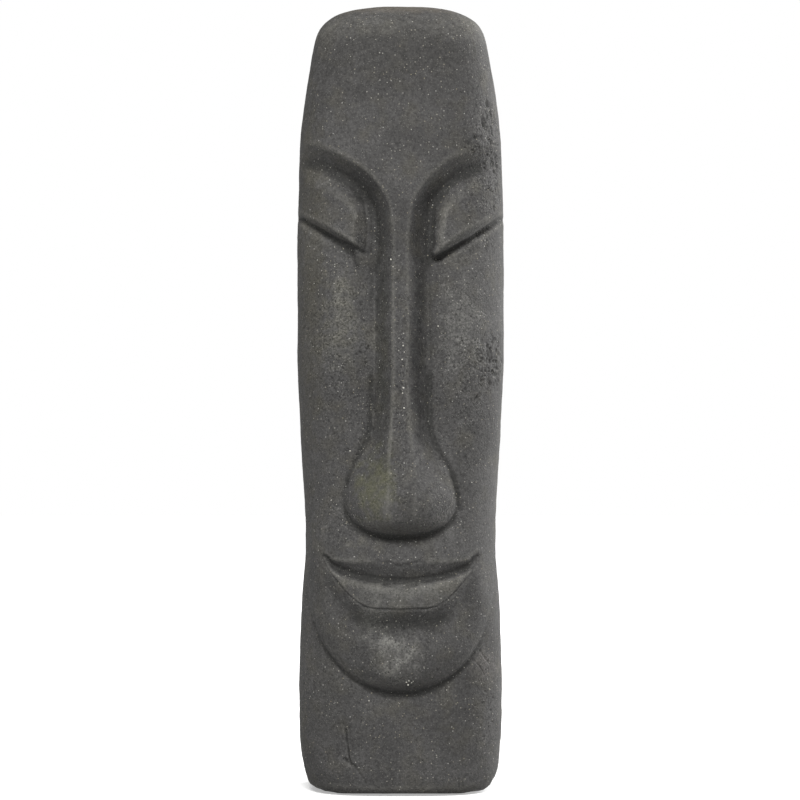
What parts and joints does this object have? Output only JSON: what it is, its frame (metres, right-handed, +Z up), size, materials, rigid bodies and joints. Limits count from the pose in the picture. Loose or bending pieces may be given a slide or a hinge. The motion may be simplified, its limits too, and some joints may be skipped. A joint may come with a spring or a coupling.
{
  "type": "tiki figure",
  "caption": "Tall stylised head cast hollow in dark stone-filled cement, with arched brows, closed eyes, long nose, smiling lips and a plain foot that stands on pads.",
  "frame": {"origin": "on the floor under the middle of the figure's bounding box", "axes": "+Z up the figure, -Y the way the face looks, +X to the right of someone facing it"},
  "size_m": [0.202, 0.188, 0.762],
  "materials": {
    "cast_stone": "matte",
    "patching_mortar": "matte",
    "glass_scrim": "matte",
    "pad_rubber": "matte"
  },
  "bodies": {
    "root": {"front_shell": "cast_stone", "back_shell": "cast_stone", "seam_mortar": "patching_mortar", "front_scrim": "glass_scrim", "back_scrim": "glass_scrim", "seam_tape": "glass_scrim", "base_plate": "cast_stone", "base_mortar": "patching_mortar", "foot_pad_front_left": "pad_rubber", "foot_pad_front_right": "pad_rubber", "foot_pad_rear_left": "pad_rubber", "foot_pad_rear_right": "pad_rubber"}
  },
  "joints": []
}
